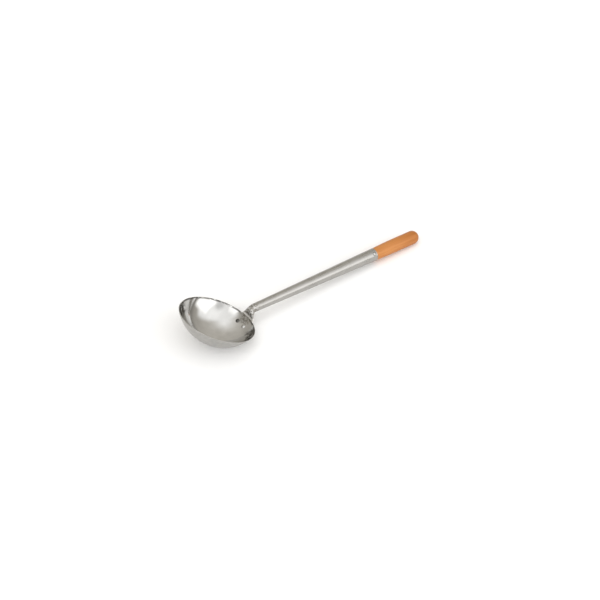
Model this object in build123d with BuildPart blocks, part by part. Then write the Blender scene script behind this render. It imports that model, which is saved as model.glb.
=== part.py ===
from build123d import *

import os
from math import asin, atan2, cos, degrees, hypot, pi, radians, sin, sqrt

# A soup ladle of the wok kind, lying at rest on a table: the bottom of its bowl and the
# round end of its grip touch the ground. +X runs from the bowl to the grip, +Z is up, and
# the origin is on the ground, under the middle of the whole ladle.

# Bowl: a cap of a sphere, pressed from one sheet, with a full round on its edge
rim_d = 127.0
bowl_depth = 39.5
bowl_sheet = 1.2

# Shank: one rolled sheet, a tapered tube whose bowl end is pressed flat into a tongue
shank_sheet = 1.0
neck_d = 14.0
mouth_d = 22.2
shank_length = 245.0
handle_rise = radians(22.5)
stem_rise = radians(104)
neck_root = 1.6
neck_curl_r = 6.0
neck_stem = 3.0
neck_bend_r = 8.5
neck_lead = 3.0
neck_narrowing = 18.0
neck_rounding = 23.0
tongue_w = 28.0
tongue_reach = 26.0
tongue_corner = 8.0
seam_gap = 0.3

# Rivets: two, side by side, through the wall of the bowl and the tongue
rivet_d = 4.0
rivet_head_d = 7.0
rivet_head_h = 1.5
rivet_pitch = 16.5
rivet_drop = 15.5

# Grip: turned wood with a tapered tenon in the mouth of the shank
grip_shoulder_d = 21.2
grip_d = 23.2
grip_length = 94.5
grip_straight = 40.0
tenon_length = 60.0
tenon_chamfer = 1.5

# Nail: through the wall of the shank into the tenon
nail_d = 2.0
nail_head_d = 4.8
nail_head_h = 0.9
nail_length = 13.0
nail_point = 2.5
nail_inset = 5.0
nail_turn = radians(41)

# Clearances, and how far a cut runs past what it cuts
hole_gap = 0.05
tongue_gap = 0.15
tenon_gap = 0.15
seat_gap = 0.02
overrun = 2.0

# Size of the bowl's sphere. The middle of its sheet is a cap as well, less high by one sheet.
rim_mid_r = rim_d / 2 - bowl_sheet / 2
cap_height = bowl_depth - bowl_sheet
mid_r = (rim_mid_r**2 + cap_height**2) / (2 * cap_height)
rim_angle = asin(rim_mid_r / mid_r)
outer_r = mid_r + bowl_sheet / 2
inner_r = mid_r - bowl_sheet / 2

# Points on the outline of one section of the shank, and sections along its tongue and its neck.
# A higher power makes a flatter bar of the outline, and 2 an ellipse.
outline_points = 16
tongue_sections = 6
neck_steps = 12
flat_power = 4
round_power = 2

# The tongue lies on the outside of the bowl
tongue_thick = 2 * shank_sheet
tongue_r = outer_r + tongue_gap + tongue_thick / 2
tongue_back_r = tongue_r + tongue_thick / 2
curl_length = neck_curl_r * (stem_rise - rim_angle)
bend_length = neck_bend_r * (stem_rise - handle_rise)
bend_over = neck_root + curl_length + neck_stem + bend_length
grip_end_r = grip_d / 2


def line_from(start, slope, run):
    # The point reached by a straight run from a start, in the middle plane of the ladle
    return (start[0] + run * cos(slope), start[1] + run * sin(slope))


# Centre line of the shank in the middle plane of the ladle, measured from the bowl's centre,
# x along the plane of the rim and y square to it. Past the rim it curls up to a short stem,
# then bends down to the rise of the handle.
tongue_root = (tongue_r * sin(rim_angle), -tongue_r * cos(rim_angle))
curl_start = line_from(tongue_root, rim_angle, neck_root)
curl_centre = line_from(curl_start, rim_angle + pi / 2, neck_curl_r)
stem_start = line_from(curl_centre, stem_rise - pi / 2, neck_curl_r)
bend_start = line_from(stem_start, stem_rise, neck_stem)
bend_centre = line_from(bend_start, stem_rise - pi / 2, neck_bend_r)
bend_end = line_from(bend_centre, handle_rise + pi / 2, neck_bend_r)
mouth = line_from(bend_end, handle_rise, shank_length)
grip_centre = line_from(mouth, handle_rise, grip_length - grip_end_r)

# At rest the ball of the bowl and the ball at the grip's end stand on one flat ground.
# The tilt of the rim follows from the height of one ball's centre above the other's.
reach = hypot(*grip_centre)
bearing = atan2(grip_centre[1], grip_centre[0])
tilt = bearing + asin((outer_r - grip_end_r) / reach)
grip_run = reach * cos(bearing - tilt)
bowl_run = mid_r * sin(min(pi / 2, rim_angle + tilt)) + bowl_sheet / 2
bowl_x = (bowl_run - grip_run - grip_end_r) / 2

middle = Plane(origin=(bowl_x, 0, outer_r), x_dir=(cos(tilt), 0, -sin(tilt)), z_dir=(0, -1, 0))
bowl_axis = Axis(middle.origin, middle.y_dir)


def middle_plane_at(point, slope):
    # The middle plane again, with its origin at a point and its x along a slope
    along = middle.x_dir * cos(slope) + middle.y_dir * sin(slope)
    return Plane(origin=middle.from_local_coords((*point, 0)), x_dir=along, z_dir=middle.z_dir)


def plane_across(point, slope):
    # A plane square to the centre line, its x sideways and its y to the side of the bowl's centre
    along = middle_plane_at(point, slope)
    return Plane(origin=along.origin, x_dir=(0, 1, 0), z_dir=along.x_dir)


handle = middle_plane_at(mouth, handle_rise)
handle_axis = Axis(handle.origin, handle.x_dir)


def tube_d(run):
    # Outside diameter of the straight taper, a run past the end of the bend
    return neck_d + (mouth_d - neck_d) * run / shank_length


def share_done(run, whole):
    # A smooth step from 0 at the rim to 1 after the whole change, a run past the rim
    share = min(1, max(0, run / whole))
    return share**2 * (3 - 2 * share)


def outline(width, thick, power, hug):
    # A closed curve from a circle to a flat bar, hug 1 where it follows the ball of the bowl.
    # Even parameters make the curves of all sections alike, so that a skin over them stays smooth.
    points = []
    for step in range(outline_points):
        turn = 2 * pi * step / outline_points
        across = abs(cos(turn)) ** (2 / power) * (1 if cos(turn) > 0 else -1)
        up = abs(sin(turn)) ** (2 / power) * (1 if sin(turn) > 0 else -1)
        x = across * width / 2
        drawn_in = tongue_r - sqrt(tongue_r**2 - x**2)
        points.append(Vector(x, up * thick / 2 + hug * drawn_in))
    parameters = [step / outline_points for step in range(outline_points + 1)]
    return Edge.make_spline(points, periodic=True, parameters=parameters)


def tongue_section(reach_in):
    # Plane and outline of the tongue, a reach below the rim's edge
    angle = rim_angle - reach_in / tongue_r
    from_tip = min(1, (tongue_reach - reach_in) / tongue_corner)
    width = tongue_w * (1 - (1 - from_tip) ** 2 / 2)
    place = (tongue_r * sin(angle), -tongue_r * cos(angle))
    return plane_across(place, angle), (width, tongue_thick, flat_power, 1)


def neck_place(run):
    # Point and slope of the centre line, a run past the rim
    past_root = run - neck_root
    past_curl = past_root - curl_length
    past_stem = past_curl - neck_stem
    if past_root < 0:
        return line_from(tongue_root, rim_angle, run), rim_angle
    if past_curl < 0:
        slope = rim_angle + past_root / neck_curl_r
        return line_from(curl_centre, slope - pi / 2, neck_curl_r), slope
    if past_stem < 0:
        return line_from(stem_start, stem_rise, past_curl), stem_rise
    if run < bend_over:
        slope = stem_rise - past_stem / neck_bend_r
        return line_from(bend_centre, slope + pi / 2, neck_bend_r), slope
    return line_from(bend_end, handle_rise, run - bend_over), handle_rise


def neck_section(run, less=0):
    # Plane and outline of the shank, a run past the rim, less a sheet on each side
    place, slope = neck_place(run)
    narrowed = share_done(run, neck_narrowing)
    part_round = share_done(run, neck_rounding)
    round_d = tube_d(run - bend_over)
    width = tongue_w + (round_d - tongue_w) * narrowed - 2 * less
    thick = tongue_thick + (round_d - tongue_thick) * part_round - 2 * less
    power = flat_power + (round_power - flat_power) * part_round
    return plane_across(place, slope), (width, thick, power, 1 - part_round)


shank_end = bend_over + shank_length
taper_start = max(neck_rounding, bend_over) + neck_lead
tongue_reaches = [tongue_reach * (1 - step / tongue_sections) for step in range(tongue_sections)]
neck_runs = [taper_start * step / neck_steps for step in range(neck_steps + 1)]
neck_sections = [tongue_section(reach_in) for reach_in in tongue_reaches]
neck_sections += [neck_section(run) for run in neck_runs]
taper_sections = [neck_section(run) for run in (taper_start, shank_end)]
# The neck is hollow from its round end back to where the hollow is as high as the sheet is thick
hollows = [neck_section(run, shank_sheet) for run in reversed(neck_runs)]
neck_cavity = [(place, shape) for place, shape in hollows if shape[1] > shank_sheet]
taper_cavity = [neck_section(run, shank_sheet) for run in (taper_start, shank_end + overrun)]

# The nail goes in square to the handle's axis, turned from its top towards -Y
nail_spot = line_from(mouth, handle_rise, -nail_inset)
nail_up = middle_plane_at(nail_spot, handle_rise)
nail_plane = Plane(
    origin=nail_up.origin,
    x_dir=nail_up.x_dir,
    z_dir=nail_up.y_dir * cos(nail_turn) - Vector(0, sin(nail_turn), 0),
)
nail_seat = tube_d(shank_length - nail_inset + nail_head_d / 2) / 2 + seat_gap
nail_tip = nail_seat - nail_length


os.makedirs("parts", exist_ok=True)


def rivet_direction(side):
    # From the bowl's centre through a rivet, side -1 or 1
    angle = rim_angle - rivet_drop / outer_r
    swing = asin(side * rivet_pitch / 2 / outer_r)
    out = middle.x_dir * (sin(angle) * cos(swing)) - middle.y_dir * (cos(angle) * cos(swing))
    return out + Vector(0, sin(swing), 0)


def rivet_plane(side):
    # Origin at the bowl's centre, z out through the rivet
    return Plane(origin=middle.origin, x_dir=middle.x_dir, z_dir=rivet_direction(side))


with BuildPart() as bowl:
    with BuildSketch(middle):
        with BuildLine():
            rim_out = (outer_r * sin(rim_angle), -outer_r * cos(rim_angle))
            rim_in = (inner_r * sin(rim_angle), -inner_r * cos(rim_angle))
            rim_mid = (mid_r * sin(rim_angle), -mid_r * cos(rim_angle))
            RadiusArc((0, -outer_r), rim_out, -outer_r)
            ThreePointArc(rim_out, line_from(rim_mid, rim_angle, bowl_sheet / 2), rim_in)
            RadiusArc(rim_in, (0, -inner_r), inner_r)
            Line((0, -inner_r), (0, -outer_r))
        make_face()
    revolve(axis=bowl_axis)
    for side in (-1, 1):
        with BuildSketch(rivet_plane(side).offset(inner_r - overrun)):
            Circle(rivet_d / 2 + hole_gap)
        extrude(amount=bowl_sheet + 2 * overrun, mode=Mode.SUBTRACT)
bowl.part.label = "bowl"
export_step(bowl.part, "parts/bowl.step")


# The shank is a skin over its sections, curved to the start of the taper and straight from there,
# less a smaller one, with a narrow seam where the rolled sheet's two edges meet underneath
with BuildPart() as shank:
    for sections, straight in ((neck_sections, False), (taper_sections, True)):
        for place, shape in sections:
            with BuildSketch(place):
                with BuildLine():
                    add(outline(*shape))
                make_face()
        loft(ruled=straight)
    for sections, straight in ((neck_cavity, False), (taper_cavity, True)):
        for place, shape in sections:
            with BuildSketch(place):
                with BuildLine():
                    add(outline(*shape))
                make_face()
        loft(ruled=straight, mode=Mode.SUBTRACT)
    with BuildSketch(handle):
        with Locations((overrun, 0)):
            Rectangle(shank_length + overrun, mouth_d, align=(Align.MAX, Align.MAX))
    extrude(amount=seam_gap / 2, both=True, mode=Mode.SUBTRACT)
    for side in (-1, 1):
        with BuildSketch(rivet_plane(side).offset(outer_r - overrun)):
            Circle(rivet_d / 2 + hole_gap)
        extrude(amount=tongue_back_r - outer_r + 2 * overrun, mode=Mode.SUBTRACT)
    with BuildSketch(nail_plane):
        Circle(nail_d / 2 + hole_gap)
    extrude(amount=mouth_d / 2 + overrun, mode=Mode.SUBTRACT)
shank.part.label = "shank"
export_step(shank.part, "parts/shank.step")


# Each rivet: a plain pin with a low dome inside the bowl and another behind the tongue
with BuildPart() as bowl_rivets:
    for side in (-1, 1):
        across = rivet_plane(side)
        half = Plane(origin=across.origin, x_dir=across.z_dir, z_dir=across.x_dir)
        head_r = rivet_head_d / 2
        inside = sqrt(inner_r**2 - head_r**2) - seat_gap
        behind = tongue_back_r + seat_gap
        crown_r = (head_r**2 + rivet_head_h**2) / (2 * rivet_head_h)
        with BuildSketch(half):
            with BuildLine():
                Line((inside - rivet_head_h, 0), (behind + rivet_head_h, 0))
                RadiusArc((behind + rivet_head_h, 0), (behind, head_r), -crown_r)
                Polyline((behind, head_r), (behind, rivet_d / 2), (inside, rivet_d / 2), (inside, head_r))
                RadiusArc((inside, head_r), (inside - rivet_head_h, 0), -crown_r)
            make_face()
        revolve(axis=Axis(across.origin, across.z_dir))
bowl_rivets.part.label = "bowl_rivets"
export_step(bowl_rivets.part, "parts/bowl_rivets.step")


# Grip, drawn along the handle's axis from the mouth: tenon, shoulder, swell, straight and round end
with BuildPart() as grip:
    tenon_root_r = tube_d(shank_length) / 2 - shank_sheet - tenon_gap
    tenon_end_r = tube_d(shank_length - tenon_length) / 2 - shank_sheet - tenon_gap
    straight_end = grip_length - grip_end_r
    straight_start = straight_end - grip_straight
    with BuildSketch(handle):
        with BuildLine():
            Polyline(
                (-tenon_length, 0),
                (-tenon_length, tenon_end_r - tenon_chamfer),
                (tenon_chamfer - tenon_length, tenon_end_r),
                (seat_gap, tenon_root_r),
                (seat_gap, grip_shoulder_d / 2),
            )
            Spline(
                (seat_gap, grip_shoulder_d / 2),
                (straight_start, grip_end_r),
                tangents=((1, 2 * (grip_end_r - grip_shoulder_d / 2) / straight_start), (1, 0)),
            )
            Line((straight_start, grip_end_r), (straight_end, grip_end_r))
            RadiusArc((straight_end, grip_end_r), (grip_length, 0), grip_end_r)
            Line((grip_length, 0), (-tenon_length, 0))
        make_face()
    revolve(axis=handle_axis)
    with BuildSketch(nail_plane.offset(nail_tip - seat_gap)):
        Circle(nail_d / 2 + hole_gap)
    extrude(amount=nail_length + overrun, mode=Mode.SUBTRACT)
grip.part.label = "grip"
export_step(grip.part, "parts/grip.step")


# Nail, drawn from the handle's axis outwards: its head lies on the shank and its point is in the tenon
with BuildPart() as grip_nail:
    nail_crown_r = ((nail_head_d / 2) ** 2 + nail_head_h**2) / (2 * nail_head_h)
    nail_half = Plane(origin=nail_plane.origin, x_dir=nail_plane.z_dir, z_dir=nail_plane.x_dir)
    with BuildSketch(nail_half):
        with BuildLine():
            Line((nail_tip, 0), (nail_seat + nail_head_h, 0))
            RadiusArc((nail_seat + nail_head_h, 0), (nail_seat, nail_head_d / 2), -nail_crown_r)
            Polyline(
                (nail_seat, nail_head_d / 2),
                (nail_seat, nail_d / 2),
                (nail_tip + nail_point, nail_d / 2),
                (nail_tip, 0),
            )
        make_face()
    revolve(axis=Axis(nail_plane.origin, nail_plane.z_dir))
grip_nail.part.label = "grip_nail"
export_step(grip_nail.part, "parts/grip_nail.step")
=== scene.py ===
from math import asin, atan2, copysign, cos, exp, hypot, pi, radians, sin, sqrt

import bmesh
import bpy
from mathutils import Matrix, Vector, noise


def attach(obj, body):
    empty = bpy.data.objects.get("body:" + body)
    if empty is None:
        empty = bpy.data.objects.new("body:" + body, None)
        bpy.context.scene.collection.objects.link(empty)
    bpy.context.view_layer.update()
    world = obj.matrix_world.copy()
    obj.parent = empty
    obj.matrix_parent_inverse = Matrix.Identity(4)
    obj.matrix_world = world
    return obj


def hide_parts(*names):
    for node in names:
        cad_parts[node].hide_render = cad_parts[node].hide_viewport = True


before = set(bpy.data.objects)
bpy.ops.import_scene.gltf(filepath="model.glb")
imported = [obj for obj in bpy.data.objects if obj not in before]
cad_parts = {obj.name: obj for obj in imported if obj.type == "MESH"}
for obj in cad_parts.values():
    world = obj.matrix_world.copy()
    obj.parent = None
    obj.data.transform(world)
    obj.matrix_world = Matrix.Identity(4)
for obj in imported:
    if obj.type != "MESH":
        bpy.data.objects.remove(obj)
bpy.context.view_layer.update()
print("frame:", ", ".join(sorted(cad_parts)))

mm = 0.001
weld = 0.001 * mm  # points of a spun shape that are closer than this are merged
sharpAngle = radians(50)  # faces that meet at more than this have a sharp edge between them

# Sizes of the ladle, as the solids have them, and of the marks that only this model has
bowl = {
    "rimAcross": 127 * mm,
    "depth": 39.5 * mm,
    "sheet": 1.2 * mm,
    "turnSteps": 288,
    "wallSteps": 72,
    "edgeSteps": 8,
    "sharpAngle": radians(60),
    "unevenness": ((42 * mm, 0.10 * mm), (17 * mm, 0.022 * mm)),  # size of a swell, its height
    "seed": Vector((3.1, 7.4, 1.9)),
}
shank = {
    "sheet": 1.0 * mm,
    "neckAcross": 14 * mm,
    "mouthAcross": 22.2 * mm,
    "length": 245 * mm,
    "rise": radians(22.5),
    "stemRise": radians(104),
    "neckRoot": 1.6 * mm,
    "curlRadius": 6 * mm,
    "neckStem": 3 * mm,
    "bendRadius": 8.5 * mm,
    "neckLead": 3 * mm,
    "neckNarrowing": 18 * mm,
    "neckRounding": 23 * mm,
    "tongueAcross": 28 * mm,
    "tongueReach": 26 * mm,
    "tongueCorner": 8 * mm,
    "tonguePower": 4,  # of its rounded outline, where 2 is an ellipse
    "tongueGap": 0.15 * mm,
    "seamGap": 0.3 * mm,
    "seamDepth": 0.7 * mm,
    "seamProfile": ((-0.5, 0), (-0.3, 1), (0.3, 1), (0.5, 0)),  # shares of gap and depth
    "seamFade": 6 * mm,
    "creases": (  # run past the rim, turn about the centre line
        (11.6 * mm, radians(62)),
        (15.4 * mm, radians(68)),
        (18.8 * mm, radians(80)),
    ),
    "creaseAcross": 0.85 * mm,
    "creaseReach": radians(34),
    "creaseDepth": 0.8 * mm,
    "dents": ((4.4 * mm, 0.75 * mm), (2.2 * mm, 0.28 * mm)),  # size of a dent, its depth
    "dentsFrom": (2 * mm, 6 * mm),  # runs past the rim between which they begin
    "dentsTo": (17 * mm, 27 * mm),
    "deepest": 0.88 * mm,  # no mark goes deeper than this into the wall
    "tipLength": 4 * mm,
    "tipShares": (0.0, 0.06, 0.15, 0.3, 0.5, 0.75),  # where the tip's rings lie along it
    "tipShrink": 0.9,
    "hollowFrom": 3.8 * mm,  # run past the rim where the tube's hollow begins
    "tongueSteps": 30,
    "neckSteps": 110,
    "tubeSteps": 90,
    "edgeSteps": 4,
    "ringSteps": 112,
    "unevenness": ((24 * mm, 0.05 * mm), (7 * mm, 0.008 * mm)),
    "seed": Vector((11.7, 2.3, 5.8)),
}
grip = {
    "shoulderAcross": 21.2 * mm,
    "across": 23.2 * mm,
    "length": 94.5 * mm,
    "straight": 40 * mm,
    "tenonLength": 60 * mm,
    "tenonChamfer": 1.5 * mm,
    "tenonGap": 0.15 * mm,
    "shoulderRound": 0.4 * mm,
    "turnSteps": 128,
    "shoulderSteps": 4,
    "swellSteps": 40,
    "straightSteps": 12,
    "ballSteps": 28,
    "seatGap": 0.02 * mm,
    "unevenness": ((30 * mm, 0.06 * mm),),
    "unevenFrom": 5 * mm,  # fully uneven this far past the shoulder
    "seed": Vector((5.2, 8.8, 0.4)),
}
nail = {
    "across": 2 * mm,
    "headAcross": 4.8 * mm,
    "headHeight": 0.9 * mm,
    "length": 13 * mm,
    "point": 2.5 * mm,
    "inset": 5 * mm,
    "turn": radians(41),
    "turnSteps": 40,
    "domeSteps": 10,
    "seatGap": 0.02 * mm,
}

# The bowl is a cap of a sphere, and its wall's middle is a cap as well
rimMidR = (bowl["rimAcross"] - bowl["sheet"]) / 2
capHeight = bowl["depth"] - bowl["sheet"]
midR = (rimMidR**2 + capHeight**2) / (2 * capHeight)
rimAngle = asin(rimMidR / midR)
outerR = midR + bowl["sheet"] / 2
innerR = midR - bowl["sheet"] / 2
tongueR = outerR + shank["tongueGap"] + shank["sheet"]
tongueBackR = tongueR + shank["sheet"]
curlLength = shank["curlRadius"] * (shank["stemRise"] - rimAngle)
bendLength = shank["bendRadius"] * (shank["stemRise"] - shank["rise"])
bendOver = shank["neckRoot"] + curlLength + shank["neckStem"] + bendLength
gripEndR = grip["across"] / 2


def lineFrom(start, slope, run):
    return (start[0] + run * cos(slope), start[1] + run * sin(slope))


# The shank's centre line, from the bowl's centre, along the rim's plane and square to it
tongueRoot = (tongueR * sin(rimAngle), -tongueR * cos(rimAngle))
curlStart = lineFrom(tongueRoot, rimAngle, shank["neckRoot"])
curlCentre = lineFrom(curlStart, rimAngle + pi / 2, shank["curlRadius"])
stemStart = lineFrom(curlCentre, shank["stemRise"] - pi / 2, shank["curlRadius"])
bendStart = lineFrom(stemStart, shank["stemRise"], shank["neckStem"])
bendCentre = lineFrom(bendStart, shank["stemRise"] - pi / 2, shank["bendRadius"])
bendEnd = lineFrom(bendCentre, shank["rise"] + pi / 2, shank["bendRadius"])
mouth = lineFrom(bendEnd, shank["rise"], shank["length"])
gripCentre = lineFrom(mouth, shank["rise"], grip["length"] - gripEndR)

# At rest the bowl and the round end of the grip stand on the ground
reach = hypot(*gripCentre)
bearing = atan2(gripCentre[1], gripCentre[0])
tilt = bearing + asin((outerR - gripEndR) / reach)
bowlRun = midR * sin(min(pi / 2, rimAngle + tilt)) + bowl["sheet"] / 2
bowlX = (bowlRun - reach * cos(bearing - tilt) - gripEndR) / 2
bowlCentre = Vector((bowlX, 0, outerR))
ladlePlace = Matrix.Translation(bowlCentre) @ Matrix.Rotation(tilt, 4, "Y")
handleLean = tilt - shank["rise"]
mouthTurn = Matrix.Rotation(-shank["rise"], 4, "Y")
mouthPlace = ladlePlace @ Matrix.Translation((mouth[0], 0, mouth[1])) @ mouthTurn
print("ladle: tilt", round(tilt, 4), "bowl centre", [round(v, 5) for v in bowlCentre])


# Shapes

def drawLine(shape, points):
    # A chain of vertices, each pulled out of the one before
    last = bmesh.ops.create_vert(shape, co=points[0])["vert"][0]
    for point in points[1:]:
        last = bmesh.ops.extrude_vert_indiv(shape, verts=[last])["verts"][0]
        last.co = point


def turnLine(shape, axis, steps):
    bmesh.ops.spin(
        shape,
        geom=shape.verts[:] + shape.edges[:],
        cent=(0, 0, 0),
        axis=axis,
        angle=2 * pi,
        steps=steps,
        use_merge=True,
    )
    bmesh.ops.remove_doubles(shape, verts=shape.verts, dist=weld)


def arcPoints(centre, radius, start, end, steps):
    # Points of an arc in the XZ plane, its angles from +X towards +Z
    points = []
    for step in range(steps + 1):
        turn = start + (end - start) * step / steps
        points.append(Vector((centre[0] + radius * cos(turn), 0, centre[1] + radius * sin(turn))))
    return points


def crownOf(across, height):
    # Radius of a low dome, and the angle from its crown to its edge
    halfAcross = across / 2
    radius = (halfAcross**2 + height**2) / (2 * height)
    return radius, asin(halfAcross / radius)


def swell(spot, sizes, seed):
    # A gentle unevenness, smooth in every direction
    return sum(height * noise.noise(spot / size + seed) for size, height in sizes)


def finishPiece(name, shape, place, finish, sharpFrom=sharpAngle):
    bmesh.ops.recalc_face_normals(shape, faces=shape.faces)
    bmesh.ops.transform(shape, matrix=place, verts=shape.verts)
    for face in shape.faces:
        face.smooth = True
    mesh = bpy.data.meshes.new(name)
    shape.to_mesh(mesh)
    shape.free()
    mesh.set_sharp_from_angle(angle=sharpFrom)
    mesh.materials.append(finish)
    piece = bpy.data.objects.new(name, mesh)
    bpy.context.scene.collection.objects.link(piece)
    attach(piece, "root")
    print("piece:", name, len(mesh.polygons), "faces")
    return piece


# Finishes

class Wire:
    # A node's output, which takes sums, products and so on as written
    def __init__(self, tree, socket):
        self.tree, self.socket = tree, socket

    def maths(self, operation, *values):
        node = self.tree.nodes.new("ShaderNodeMath")
        node.operation = operation
        for socket, value in zip(node.inputs, values):
            if isinstance(value, Wire):
                self.tree.links.new(value.socket, socket)
            else:
                socket.default_value = value
        return Wire(self.tree, node.outputs[0])

    def __add__(self, other):
        return self.maths("ADD", self, other)

    def __radd__(self, other):
        return self.maths("ADD", other, self)

    def __sub__(self, other):
        return self.maths("SUBTRACT", self, other)

    def __rsub__(self, other):
        return self.maths("SUBTRACT", other, self)

    def __mul__(self, other):
        return self.maths("MULTIPLY", self, other)

    def __rmul__(self, other):
        return self.maths("MULTIPLY", other, self)

    def __truediv__(self, other):
        return self.maths("DIVIDE", self, other)

    def __pow__(self, other):
        return self.maths("POWER", self, other)


class Finish:
    # The nodes of one material, or of the world
    def __init__(self, owner):
        owner.use_nodes = True
        self.tree = owner.node_tree
        self.tree.nodes.clear()

    def node(self, kind, settings=None, values=None, output=0):
        node = self.tree.nodes.new(kind)
        for name, value in (settings or {}).items():
            if name == "stops":
                ramp = node.color_ramp
                while len(ramp.elements) < len(value):
                    ramp.elements.new(0.5)
                for element, (spot, colour) in zip(ramp.elements, value):
                    element.position = spot
                    element.color = (*colour, 1)
            else:
                setattr(node, name, value)
        for name, value in (values or {}).items():
            socket = node.inputs[name]
            if isinstance(value, Wire):
                self.tree.links.new(value.socket, socket)
            elif socket.type == "RGBA":
                socket.default_value = (*value, 1)
            else:
                socket.default_value = value
        return None if output is None else Wire(self.tree, node.outputs[output])

    def split(self, vector):
        # X, Y and Z of a vector
        parts = self.tree.nodes.new("ShaderNodeSeparateXYZ")
        self.tree.links.new(vector.socket, parts.inputs[0])
        return [Wire(self.tree, output) for output in parts.outputs]

    def spread(self, value, low, high, toLow=0.0, toHigh=1.0):
        # A smooth step from one value to another
        settings = {"interpolation_type": "SMOOTHSTEP"}
        values = {
            "Value": value,
            "From Min": low,
            "From Max": high,
            "To Min": toLow,
            "To Max": toHigh,
        }
        return self.node("ShaderNodeMapRange", settings, values)

    def fade(self, value, low, high):
        # A smooth step from 1 to 0
        return self.spread(value, low, high, 1.0, 0.0)

    def mix(self, share, first, second):
        # Input 0 is the factor, 6 and 7 are the colours, and output 2 is the colour
        return self.node("ShaderNodeMix", {"data_type": "RGBA"}, {0: share, 6: first, 7: second}, 2)

    def place(self, centre, turn, scale=(1, 1, 1)):
        # Object coordinates, centred and turned onto a piece
        spot = self.node("ShaderNodeTexCoord", output="Object")
        values = {"Vector": spot, "Location": centre, "Rotation": turn}
        centred = self.node("ShaderNodeMapping", {"vector_type": "TEXTURE"}, values)
        return self.node("ShaderNodeMapping", {}, {"Vector": centred, "Scale": scale})

    def speckle(self, vector, scale, detail, rough):
        values = {"Vector": vector, "Scale": scale, "Detail": detail, "Roughness": rough}
        return self.node("ShaderNodeTexNoise", {}, values)

    def combine(self, x=0.0, y=0.0, z=0.0):
        return self.node("ShaderNodeCombineXYZ", {}, {"X": x, "Y": y, "Z": z})

    def bump(self, height, distance):
        return self.node("ShaderNodeBump", {}, {"Height": height, "Distance": distance})


def newMaterial(name):
    material = bpy.data.materials.new(name)
    return material, Finish(material)


def closeMaterial(made, values):
    surface = made.node("ShaderNodeBsdfPrincipled", {}, values)
    made.node("ShaderNodeOutputMaterial", {}, {"Surface": surface}, output=None)


# Colours of the steel, from light to dark. The lightest is only a painted highlight on the neck;
# the darkest also paint shade and dark reflections in the bowl and on the far rivet
steel = {
    "fresh": (0.86, 0.84, 0.81),
    "bright": (0.62, 0.615, 0.60),
    "pale": (0.52, 0.515, 0.50),
    "satin": (0.42, 0.41, 0.39),
    "dull": (0.36, 0.35, 0.33),
    "brown": (0.24, 0.22, 0.19),
    "rivetShade": (0.17, 0.165, 0.155),
    "black": (0.075, 0.07, 0.063),
}


# In the looks a speckle is its scale, detail and roughness, a range is where a change begins and
# ends, and a surface's roughness is its least value and what each speckle or place adds to it
blotchLook = {"speckle": (380, 3.0, 0.6), "range": (0.42, 0.6)}


def blotches(made, spot):
    tone = made.spread(made.speckle(spot, *blotchLook["speckle"]), *blotchLook["range"])
    return made.mix(tone, steel["brown"], steel["bright"])


# Bowl: bright inside and satin outside, polished in rings about its axis. Inside, painted dark
# reflections lie in streaks along the rim, wider at two sides, and painted shade lies mottled round
# the shank's seat.
bowlLook = {
    "insideRange": (0.1 * mm, 0.5 * mm),  # outside the inner radius
    "rings": (1.0, 3.0, 0.7),
    "ringStretch": 2600,
    "clouds": (32, 2.0, 0.5),
    "cloudRange": (0.3, 0.7),
    "smears": (190, 3.0, 0.6),
    "smearRange": (0.3, 0.7),
    "reflectionStreaks": (1.0, 3.0, 0.65),
    "streakStretch": (7, 360),  # round the rim, and down from it
    "streakRange": (0.4, 0.5),
    "streakShare": 0.88,
    "rimRange": (0.6 * mm, 2.4 * mm),  # below the rim
    "darkSides": ((-50, 22), (131, 14)),  # bearing and half width in degrees
    "darkSoft": (0.6, 1.3),  # shares of the half width
    "darkDepth": 17 * mm,
    "darkFull": 0.7,  # share of that depth
    "seatShadeRange": (9 * mm, 17 * mm),  # from the middle of the seat at the rim
    "seatShadeShare": 0.8,
    "roughInside": (0.07, 0.05, 0.03, 0.1),  # least, clouds, smears, blotches
    "roughOutside": (0.24, 0.08, 0.06),  # least, clouds, rings
    "ringDepth": 0.004 * mm,
}


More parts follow.
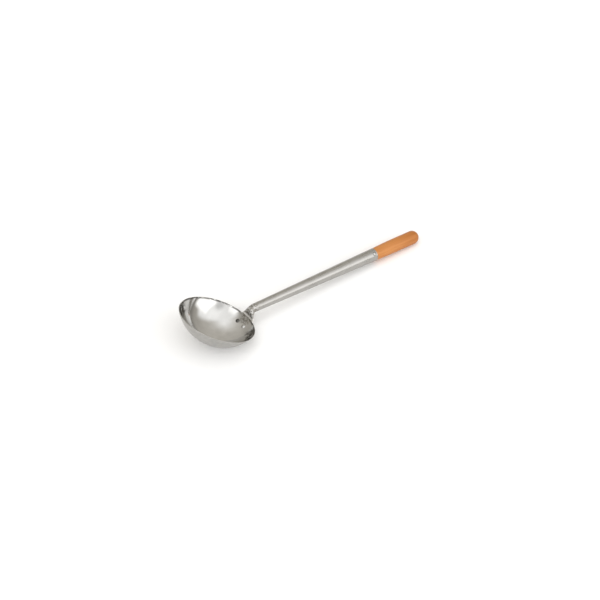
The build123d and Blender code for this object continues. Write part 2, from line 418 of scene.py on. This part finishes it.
def bowlFinish():
    look = bowlLook
    material, made = newMaterial("polishedSteel")
    spot = made.place(bowlCentre, (0, tilt, 0))
    x, y, z = made.split(spot)
    radius = (x * x + y * y) ** 0.5
    depth = (radius * radius + z * z) ** 0.5
    near, far = look["insideRange"]
    inside = made.fade(depth, innerR + near, innerR + far)
    ringMarks = made.speckle(made.combine(radius * look["ringStretch"]), *look["rings"])
    clouds = made.speckle(spot, *look["clouds"])
    smears = made.speckle(spot, *look["smears"])

    # Painted dark reflections: black streaks just under the rim all round, reaching deeper at two
    # sides
    below = -midR * cos(rimAngle) - z
    wide, deep = look["streakStretch"]
    along = made.combine(x / radius * wide, y / radius * wide, below * deep)
    reflectionStreaks = made.spread(made.speckle(along, *look["reflectionStreaks"]), *look["streakRange"])
    edge = made.fade(below, *look["rimRange"])
    softFrom, softTo = look["darkSoft"]
    deepest = look["darkDepth"]
    for bearing, half in look["darkSides"]:
        turn = radians(bearing)
        facing = (x * cos(turn) + y * sin(turn)) / radius
        side = made.spread(facing, cos(radians(softTo * half)), cos(radians(softFrom * half)))
        dark = side * made.fade(below, look["darkFull"] * deepest, deepest)
        edge = edge.maths("MAXIMUM", edge, dark)

    # Painted shade: brown mottle on the wall round the shank's seat, which also roughens it there
    seat = Vector((sin(rimAngle), 0, -cos(rimAngle))) * midR
    fromSeat = ((x - seat.x) ** 2 + y**2 + (z - seat.z) ** 2) ** 0.5
    paintedSeatShade = made.fade(fromSeat, *look["seatShadeRange"])
    bright = made.mix(made.spread(clouds, *look["cloudRange"]), steel["pale"], steel["bright"])
    bright = made.mix(look["streakShare"] * edge * reflectionStreaks, bright, steel["black"])
    bright = made.mix(look["seatShadeShare"] * paintedSeatShade, bright, blotches(made, spot))
    plain = made.mix(made.spread(smears, *look["smearRange"]), steel["dull"], steel["satin"])
    least, inClouds, inSmears, inBlotches = look["roughInside"]
    polished = least + inClouds * clouds + inSmears * smears + inBlotches * paintedSeatShade
    least, inClouds, inRings = look["roughOutside"]
    ground = least + inClouds * clouds + inRings * ringMarks
    values = {
        "Base Color": made.mix(inside, plain, bright),
        "Metallic": 1.0,
        "Roughness": ground + inside * (polished - ground),
        "Normal": made.bump(ringMarks, look["ringDepth"]),
    }
    closeMaterial(made, values)
    return material


# Shank: satin, ground along its length, blotched and rougher where the neck was hammered,
# with a painted highlight in the lightest steel low on the neck by the bowl, and darker in a ring
# round the nail's head
shankLook = {
    "lines": (1.0, 3.0, 0.6),
    "lineStretch": (60, 2600, 2600),
    "clouds": (60, 3.0, 0.5),
    "toneShares": (0.6, 0.4),  # of the lines and the clouds
    "toneRange": (0.35, 0.65),
    "hammeredRange": (-2 * mm, 12 * mm),  # from the end of the neck's bend
    "hammeredShare": 0.85,
    "glintRange": (-13 * mm, -8 * mm),  # above the tube's axis
    "glintShare": 0.75,
    "darkeningRange": (2.6 * mm, 4.2 * mm),  # from the middle of the nail's head
    "darkeningShare": 0.75,
    "rough": (0.2, 0.08, 0.08, 0.2),  # least, clouds, lines, hammered
    "lineDepth": 0.008 * mm,
}


def shankFinish():
    look = shankLook
    material, made = newMaterial("satinSteel")
    mouthSpot, lean = mouthPlace.translation, (0, handleLean, 0)
    spot = made.place(mouthSpot, lean)
    lines = made.speckle(made.place(mouthSpot, lean, look["lineStretch"]), *look["lines"])
    clouds = made.speckle(spot, *look["clouds"])
    inLines, inClouds = look["toneShares"]
    tone = made.spread(inLines * lines + inClouds * clouds, *look["toneRange"])
    clean = made.mix(tone, steel["dull"], steel["satin"])

    x, y, z = made.split(spot)
    mouthR = shank["mouthAcross"] / 2
    aside, up = -sin(nail["turn"]) * mouthR, cos(nail["turn"]) * mouthR
    fromNail = ((x + nail["inset"]) ** 2 + (y - aside) ** 2 + (z - up) ** 2) ** 0.5
    start, end = look["hammeredRange"]
    hammered = made.fade(x, start - shank["length"], end - shank["length"])
    # Painted highlight: the lightest steel low on the neck, where it turns down onto the bowl
    neckGlint = made.fade(z, *look["glintRange"])
    mottleAndGlint = made.mix(look["glintShare"] * neckGlint, blotches(made, spot), steel["fresh"])
    marked = made.mix(look["hammeredShare"] * hammered, clean, mottleAndGlint)
    # Darker in a ring round the nail's head
    darkening = made.spread(fromNail, *look["darkeningRange"], look["darkeningShare"], 0.0)
    least, inClouds, inLines, inHammered = look["rough"]
    values = {
        "Base Color": made.mix(darkening, marked, steel["black"]),
        "Metallic": 1.0,
        "Roughness": least + inClouds * clouds + inLines * lines + inHammered * hammered,
        "Normal": made.bump(lines, look["lineDepth"]),
    }
    closeMaterial(made, values)
    return material


# Hammered heads, darker in their dents. A light copy's colour paints the highlight on the near
# rivet and the nail, and a near-black copy's colour paints the far rivet's dark reflection
headLook = {
    "darkening": (700, 3.0, 0.6),
    "darkeningRange": (0.4, 0.65),
    "rough": (0.22, 0.16),  # least, darkening
    "dentDepth": 0.05 * mm,
}


def headFinish(name, low, high):
    look = headLook
    material, made = newMaterial(name)
    spot = made.node("ShaderNodeTexCoord", output="Object")
    darkening = made.speckle(spot, *look["darkening"])
    least, inGrime = look["rough"]
    values = {
        "Base Color": made.mix(made.spread(darkening, *look["darkeningRange"]), low, high),
        "Metallic": 1.0,
        "Roughness": least + inGrime * darkening,
        "Normal": made.bump(darkening, look["dentDepth"]),
    }
    closeMaterial(made, values)
    return material


# Wood: orange lacquer over close grain along the grip, a little browner towards its end
woodLook = {
    "bands": (1.0, 4.0, 0.6),
    "bandStretch": (16, 260, 260),
    "bandRange": (0.32, 0.68),
    "threads": (1.0, 3.0, 0.7),
    "threadStretch": (70, 2400, 2400),
    "threadRange": (0.6, 0.8),
    "threadShare": 0.3,
    "threadColour": (0.32, 0.10, 0.025),
    "fresh": ((0.49, 0.177, 0.032), (0.56, 0.22, 0.051)),  # colours between the bands, and in them
    "worn": ((0.39, 0.126, 0.013), (0.475, 0.162, 0.023)),
    "wornRange": (20 * mm, 90 * mm),  # from the tube's mouth
    "rough": (0.5, 0.1),  # least, threads
    "coat": 0.1,
    "coatRough": 0.3,
    "threadDepth": 0.02 * mm,
}


def woodFinish():
    look = woodLook
    material, made = newMaterial("lacquerWood")
    mouthSpot, lean = mouthPlace.translation, (0, handleLean, 0)
    along = made.split(made.place(mouthSpot, lean))[0]
    bands = made.speckle(made.place(mouthSpot, lean, look["bandStretch"]), *look["bands"])
    threads = made.speckle(made.place(mouthSpot, lean, look["threadStretch"]), *look["threads"])
    tone = made.spread(bands, *look["bandRange"])
    fresh = made.mix(tone, *look["fresh"])
    worn = made.mix(tone, *look["worn"])
    warm = made.mix(made.spread(along, *look["wornRange"]), fresh, worn)
    stained = made.spread(threads, *look["threadRange"], 0.0, look["threadShare"])
    least, inThreads = look["rough"]
    values = {
        "Base Color": made.mix(stained, warm, look["threadColour"]),
        "Roughness": least + inThreads * threads,
        "Coat Weight": look["coat"],
        "Coat Roughness": look["coatRough"],
        "Normal": made.bump(threads, look["threadDepth"]),
    }
    closeMaterial(made, values)
    return material


finishes = {
    "bowl": bowlFinish(),
    "shank": shankFinish(),
    "shadedHead": headFinish("shadedHeadSteel", steel["black"], steel["rivetShade"]),
    "litHead": headFinish("litHeadSteel", steel["pale"], steel["bright"]),
    "wood": woodFinish(),
}
print("finishes:", len(finishes))


# Bowl: its half outline spun about its axis, then the wall given a pressed sheet's unevenness
def makeBowl():
    shape = bmesh.new()
    rimMid = (midR * sin(rimAngle), -midR * cos(rimAngle))
    down, edge = -pi / 2, rimAngle - pi / 2
    outline = arcPoints((0, 0), outerR, down, edge, bowl["wallSteps"])
    outline += arcPoints(rimMid, bowl["sheet"] / 2, edge, edge + pi, bowl["edgeSteps"])[1:]
    outline += arcPoints((0, 0), innerR, edge, down, bowl["wallSteps"])[1:]
    drawLine(shape, outline)
    turnLine(shape, (0, 0, 1), bowl["turnSteps"])
    for corner in shape.verts:
        across = corner.co.normalized()
        if across.z > -1:
            corner.co += across * swell(across * midR, bowl["unevenness"], bowl["seed"])
    finish, sharpFrom = finishes["bowl"], bowl["sharpAngle"]
    piece = finishPiece("bowlShell", shape, ladlePlace, finish, sharpFrom)
    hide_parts("bowl")


makeBowl()


# Shank: a ring pulled along the centre line from the tongue's tip to the mouth, then back inside
def mixed(first, second, share):
    return first + (second - first) * share


def shareDone(run, whole):
    # A smooth step from 0 at the rim to 1 after the whole change
    share = min(1, max(0, run / whole))
    return share**2 * (3 - 2 * share)


def sectionAt(run):
    # A run past the rim: the place and slope of the centre line, the section's width, thickness
    # and power, and how far it follows the bowl's curve across
    pastRoot = run - shank["neckRoot"]
    pastCurl = pastRoot - curlLength
    pastStem = pastCurl - shank["neckStem"]
    if run < 0:
        reachIn = -run
        angle = rimAngle - reachIn / tongueR
        fromTip = min(1, (shank["tongueReach"] - reachIn) / shank["tongueCorner"])
        width = shank["tongueAcross"] * (1 - (1 - fromTip) ** 2 / 2)
        place = (tongueR * sin(angle), -tongueR * cos(angle))
        return place, angle, width, 2 * shank["sheet"], shank["tonguePower"], 1
    if pastRoot < 0:
        place, slope = lineFrom(tongueRoot, rimAngle, run), rimAngle
    elif pastCurl < 0:
        slope = rimAngle + pastRoot / shank["curlRadius"]
        place = lineFrom(curlCentre, slope - pi / 2, shank["curlRadius"])
    elif pastStem < 0:
        place, slope = lineFrom(stemStart, shank["stemRise"], pastCurl), shank["stemRise"]
    elif run < bendOver:
        slope = shank["stemRise"] - pastStem / shank["bendRadius"]
        place = lineFrom(bendCentre, slope + pi / 2, shank["bendRadius"])
    else:
        slope = shank["rise"]
        place = lineFrom(bendEnd, slope, run - bendOver)
    narrowed = shareDone(run, shank["neckNarrowing"])
    share = shareDone(run, shank["neckRounding"])
    pastBend = (run - bendOver) / shank["length"]
    roundAcross = mixed(shank["neckAcross"], shank["mouthAcross"], pastBend)
    width = mixed(shank["tongueAcross"], roundAcross, narrowed)
    thick = mixed(2 * shank["sheet"], roundAcross, share)
    return place, slope, width, thick, mixed(shank["tonguePower"], 2, share), 1 - share


def hammeredAt(run, across, up, spot):
    # Depth of the dents round the neck, and of the creases on the outside of its bend
    turn = atan2(up, across)
    (start, full), (fading, end) = shank["dentsFrom"], shank["dentsTo"]
    share = shareDone(run - start, full - start) * (1 - shareDone(run - fading, end - fading))
    depth = share * sum(height * abs(noise.noise(spot / size)) for size, height in shank["dents"])
    for middle, side in shank["creases"]:
        overRun = ((run - middle) / shank["creaseAcross"]) ** 2
        overTurn = ((turn - side) / shank["creaseReach"]) ** 4
        depth += shank["creaseDepth"] * exp(-(overRun + overTurn))
    return min(depth, shank["deepest"])


def rounded(turn, power):
    # A sine or cosine drawn out to a rounded outline
    return copysign(abs(turn) ** (2 / power), turn)


def makeShank():
    shape = bmesh.new()
    steps, seam = shank["ringSteps"], shank["seamProfile"]
    plain = [-pi / 2 + 2 * pi * (step + 1) / steps for step in range(steps - 1)]
    corners = len(plain) + len(seam)
    circle = bmesh.ops.create_circle(shape, cap_ends=False, segments=corners, radius=1)
    ring = circle["verts"]
    end = bendOver + shank["length"]

    def placeRing(ring, run, less=0.0, shrink=1.0):
        # A ring that lies less inside the outside of the wall, where only the outside has marks
        place, slope, width, thick, power, hug = sectionAt(run)
        width = (width - 2 * less) * shrink
        thick = thick - 2 * less - (1 - shrink) * 2 * shank["sheet"]
        seamShare = 0 if less else min(1, max(0, (run - bendOver) / shank["seamFade"]))
        spots = []
        for turn in plain:
            across = rounded(cos(turn), power) * width / 2
            spots.append((across, rounded(sin(turn), power) * thick / 2))
        for side, deep in reversed(seam):
            up = -thick / 2 + deep * shank["seamDepth"] * seamShare
            spots.append((-side * shank["seamGap"], up))
        rise = Vector((-sin(slope), 0, cos(slope)))
        for corner, (across, up) in zip(ring, spots):
            up += hug * (tongueR - sqrt(tongueR**2 - across**2))
            corner.co = Vector((place[0], across, place[1])) + rise * up
            if not less:
                out = (Vector((0, across, 0)) + rise * up).normalized()
                height = swell(corner.co, shank["unevenness"], shank["seed"])
                corner.co += out * (height - hammeredAt(run, across, up, corner.co))

    def edgesOf(ring):
        return [shape.edges.get(pair) for pair in zip(ring, ring[1:] + ring[:1])]

    def pullRing(ring):
        made = bmesh.ops.extrude_edge_only(shape, edges=edgesOf(ring))["geom"]
        fresh = {part for part in made if isinstance(part, bmesh.types.BMVert)}
        pulled = []
        for corner in ring:
            others = (edge.other_vert(corner) for edge in corner.link_edges)
            pulled.append(next(other for other in others if other in fresh))
        return pulled

    tip, tipLength = -shank["tongueReach"], shank["tipLength"]
    taperStart = max(shank["neckRounding"], bendOver) + shank["neckLead"]
    runs = [tip + share * tipLength for share in shank["tipShares"]]
    stretches = (
        (tip + tipLength, 0, shank["tongueSteps"]),
        (0, taperStart, shank["neckSteps"]),
        (taperStart, end, shank["tubeSteps"]),
    )
    for first, last, count in stretches:
        runs += [mixed(first, last, step / count) for step in range(count)]
    runs.append(end)
    placeRing(ring, runs[0], shrink=shank["tipShrink"])
    bmesh.ops.contextual_create(shape, geom=edgesOf(ring))
    for run in runs:
        ring = pullRing(ring)
        placeRing(ring, run)
    for step in range(1, shank["edgeSteps"]):
        turn = pi * step / shank["edgeSteps"]
        ring = pullRing(ring)
        placeRing(ring, end, shank["sheet"] / 2 * (1 - cos(turn)))
    for run in reversed(runs):
        if run > shank["hollowFrom"]:
            ring = pullRing(ring)
            placeRing(ring, run, shank["sheet"])
    bmesh.ops.contextual_create(shape, geom=edgesOf(ring))
    piece = finishPiece("rolledShank", shape, ladlePlace, finishes["shank"])
    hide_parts("shank")


makeShank()


# Rivets: two pins with a low dome at each end
rivet = {
    "across": 4 * mm,
    "headAcross": 7 * mm,
    "headHeight": 1.5 * mm,
    "pitch": 16.5 * mm,
    "drop": 15.5 * mm,
    "turnSteps": 48,
    "domeSteps": 12,
    "seatGap": 0.02 * mm,
}


def makeRivets():
    height, steps = rivet["headHeight"], rivet["domeSteps"]
    inside = sqrt(innerR**2 - (rivet["headAcross"] / 2) ** 2) - rivet["seatGap"]
    behind = tongueBackR + rivet["seatGap"]
    crownR, half = crownOf(rivet["headAcross"], height)
    pinR = rivet["across"] / 2
    # The near rivet takes the light copy, a painted highlight, and the far one the near-black copy,
    # a painted dark reflection
    for side, name, finish in ((-1, "rivetNear", "litHead"), (1, "rivetFar", "shadedHead")):
        shape = bmesh.new()
        outline = arcPoints((0, behind + height - crownR), crownR, pi / 2, pi / 2 - half, steps)
        outline += [Vector((pinR, 0, behind)), Vector((pinR, 0, inside))]
        outline += arcPoints((0, inside - height + crownR), crownR, half - pi / 2, -pi / 2, steps)
        drawLine(shape, outline)
        turnLine(shape, (0, 0, 1), rivet["turnSteps"])
        angle = rimAngle - rivet["drop"] / outerR
        swing = asin(side * rivet["pitch"] / 2 / outerR)
        out = Vector((sin(angle) * cos(swing), sin(swing), -cos(angle) * cos(swing)))
        place = ladlePlace @ out.to_track_quat("Z", "Y").to_matrix().to_4x4()
        piece = finishPiece(name, shape, place, finishes[finish])
        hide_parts("bowl_rivets")


makeRivets()


# Grip: turned wood, drawn from the tenon's end to the round end and spun about the handle's axis
def makeGrip():
    shape = bmesh.new()
    seatGap = grip["seatGap"]
    shoulderR = grip["shoulderAcross"] / 2

    def tenonR(run):
        # The tube's inside, less the room round the tenon
        across = mixed(shank["neckAcross"], shank["mouthAcross"], 1 + run / shank["length"])
        return across / 2 - shank["sheet"] - grip["tenonGap"]

    tenonEnd = -grip["tenonLength"]
    endR = tenonR(tenonEnd)
    corner = grip["shoulderRound"]
    straightEnd = grip["length"] - gripEndR
    straightStart = straightEnd - grip["straight"]
    outline = [
        Vector((tenonEnd, 0, 0)),
        Vector((tenonEnd, 0, endR - grip["tenonChamfer"])),
        Vector((tenonEnd + grip["tenonChamfer"], 0, endR)),
        Vector((seatGap, 0, tenonR(0))),
    ]
    cornerSpot = (seatGap + corner, shoulderR - corner)
    outline += arcPoints(cornerSpot, corner, pi, pi / 2, grip["shoulderSteps"])
    for step in range(1, grip["swellSteps"] + 1):
        share = step / grip["swellSteps"]
        run = mixed(seatGap + corner, straightStart, share)
        outline.append(Vector((run, 0, mixed(shoulderR, gripEndR, 2 * share - share**2))))
    for step in range(1, grip["straightSteps"] + 1):
        run = mixed(straightStart, straightEnd, step / grip["straightSteps"])
        outline.append(Vector((run, 0, gripEndR)))
    outline += arcPoints((straightEnd, 0), gripEndR, pi / 2, 0, grip["ballSteps"])[1:]
    drawLine(shape, outline)
    turnLine(shape, (1, 0, 0), grip["turnSteps"])
    for point in shape.verts:
        pastShoulder = point.co.x - seatGap - corner
        out = Vector((0, point.co.y, point.co.z))
        if pastShoulder > 0 and out.length > 0:
            share = min(1, pastShoulder / grip["unevenFrom"])
            worn = abs(swell(point.co, grip["unevenness"], grip["seed"]))
            point.co -= out.normalized() * worn * share
    piece = finishPiece("turnedGrip", shape, mouthPlace, finishes["wood"])
    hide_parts("grip")


makeGrip()


# Nail: through the shank's wall into the tenon
def makeNail():
    shape = bmesh.new()
    height, steps = nail["headHeight"], nail["domeSteps"]
    headEdge = nail["headAcross"] / 2 - nail["inset"]
    share = 1 + headEdge / shank["length"]
    seat = mixed(shank["neckAcross"], shank["mouthAcross"], share) / 2 + nail["seatGap"]
    crownR, half = crownOf(nail["headAcross"], height)
    pinR = nail["across"] / 2
    tip = seat - nail["length"]
    outline = arcPoints((0, seat + height - crownR), crownR, pi / 2, pi / 2 - half, steps)
    outline += [
        Vector((pinR, 0, seat)),
        Vector((pinR, 0, tip + nail["point"])),
        Vector((0, 0, tip)),
    ]
    drawLine(shape, outline)
    turnLine(shape, (0, 0, 1), nail["turnSteps"])
    inset = Matrix.Translation((-nail["inset"], 0, 0))
    place = mouthPlace @ inset @ Matrix.Rotation(nail["turn"], 4, "X")
    piece = finishPiece("gripNail", shape, place, finishes["litHead"])
    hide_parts("grip_nail")


makeNail()


# Floor
floorSizes = {
    "radius": 16.0,
    "turnSteps": 96,
    "drop": 0.2 * mm,
    "colour": (0.975, 0.975, 0.975),
}


def makeFloor():
    shape = bmesh.new()
    steps, radius = floorSizes["turnSteps"], floorSizes["radius"]
    bmesh.ops.create_circle(shape, cap_ends=True, segments=steps, radius=radius)
    bmesh.ops.translate(shape, verts=shape.verts, vec=(0, 0, -floorSizes["drop"]))
    mesh = bpy.data.meshes.new("floor")
    shape.to_mesh(mesh)
    shape.free()
    floor = bpy.data.objects.new("floor", mesh)
    bpy.context.scene.collection.objects.link(floor)
    material, made = newMaterial("paleFloor")
    surface = made.node("ShaderNodeBsdfDiffuse", {}, {"Color": floorSizes["colour"]})
    made.node("ShaderNodeOutputMaterial", {}, {"Surface": surface}, output=None)
    mesh.materials.append(material)


makeFloor()
print("floor: in place")


# Studio: a grey room, lighter overhead, with soft patches of light and shade laid over it one
# after another. Bearings are degrees from +X towards +Y, heights degrees above the horizon.
studio = {
    "strength": 2.5,
    "room": (  # height, level, warmth
        (-5, 0.26, 1.0),
        (3, 0.34, 1.0),
        (11, 0.55, 1.0),
        (30, 0.62, 1.0),
        (45, 0.68, 0.9),
        (57, 0.84, 0.7),
        (67, 1.04, 0.4),
        (77, 1.34, 0.1),
        (90, 1.50, 0.0),
    ),
    "warmth": (0.045, 0.13),  # what a full warmth takes from green and blue
    "lights": (  # across: bearing, width, softness; up: low, high, softness
        {"across": (48, 40, 12), "up": (8, 52, 8), "level": 0.72, "warmth": 1},
        {"across": (-112, 184, 12), "up": (22, 84, 7), "level": 1.42, "warmth": 0},
        {"across": (-104, 34, 9), "up": (37, 58, 7), "level": 0.98, "warmth": 0},
        {"across": (-67, 56, 8), "up": (7, 43, 4), "level": 2.1, "warmth": 0},
        {"across": (-168, 42, 5), "up": (40, 66, 5), "level": 1.9, "warmth": 0},
        {"across": (144, 50, 5), "up": (28, 55, 9), "level": 0.45, "warmth": 1},
        {"across": (165, 80, 12), "up": (-30, 24, 6), "level": 0.85, "warmth": 1},
        {"across": (92, 84, 10), "up": (-30, 9, 5), "level": 0.95, "warmth": 0},
        {"across": (-165, 80, 8), "up": (8, 34, 6), "level": 2.2, "warmth": 0},
    ),
}


def makeStudio():
    world = bpy.context.scene.world or bpy.data.worlds.new("studio")
    bpy.context.scene.world = world
    made = Finish(world)
    spot = made.node("ShaderNodeTexCoord", output="Generated")
    x, y, z = made.split(spot)
    height = z.maths("ARCSINE", z) * (180 / pi)
    lowest, highest = studio["room"][0][0], studio["room"][-1][0]
    share = (height - lowest) / (highest - lowest)

    def paint(level, warmth):
        part = level / studio["strength"]
        lessGreen, lessBlue = studio["warmth"]
        return (part, part * (1 - lessGreen * warmth), part * (1 - lessBlue * warmth))

    stops = []
    for up, level, warmth in studio["room"]:
        stops.append(((up - lowest) / (highest - lowest), paint(level, warmth)))
    colour = made.node("ShaderNodeValToRGB", {"stops": stops}, {"Fac": share})
    for light in studio["lights"]:
        bearing, width, soft = light["across"]
        low, high, softUp = light["up"]
        turn = radians(bearing)
        ahead = x * cos(turn) + y * sin(turn)
        aside = y * cos(turn) - x * sin(turn)
        off = aside.maths("ARCTAN2", aside, ahead) * (180 / pi)
        away = off.maths("ABSOLUTE", off)
        inWidth = made.fade(away, width / 2 - soft, width / 2 + soft)
        above = made.spread(height, low - softUp, low + softUp)
        below = made.fade(height, high - softUp, high + softUp)
        colour = made.mix(inWidth * above * below, colour, paint(light["level"], light["warmth"]))
    values = {"Color": colour, "Strength": studio["strength"]}
    background = made.node("ShaderNodeBackground", {}, values)
    made.node("ShaderNodeOutputWorld", {}, {"Surface": background}, output=None)


makeStudio()
print("studio: in place")


# Camera
view = {
    "bearing": radians(-35.67),
    "height": radians(43.6),
    "distance": 2.2,
    "lens": 80.5,
    "sensor": 36,
    "clips": (0.05, 50),
    "shift": (0.0158, 0.00287),
    "aim": (-34 * mm, 0, 1.6 * mm),
}


def makeCamera():
    data = bpy.data.cameras.new("camera")
    data.lens = view["lens"]
    data.sensor_width = view["sensor"]
    data.sensor_fit = "HORIZONTAL"
    data.shift_x, data.shift_y = view["shift"]
    data.clip_start, data.clip_end = view["clips"]
    camera = bpy.data.objects.new("camera", data)
    bpy.context.scene.collection.objects.link(camera)
    aim = Vector(view["aim"])
    bearing, height = view["bearing"], view["height"]
    back = Vector((sin(bearing) * cos(height), -cos(bearing) * cos(height), sin(height)))
    camera.location = aim + back * view["distance"]
    camera.rotation_euler = back.to_track_quat("Z", "Y").to_euler()
    bpy.context.scene.camera = camera


makeCamera()
bpy.context.scene.view_settings.view_transform = "Standard"
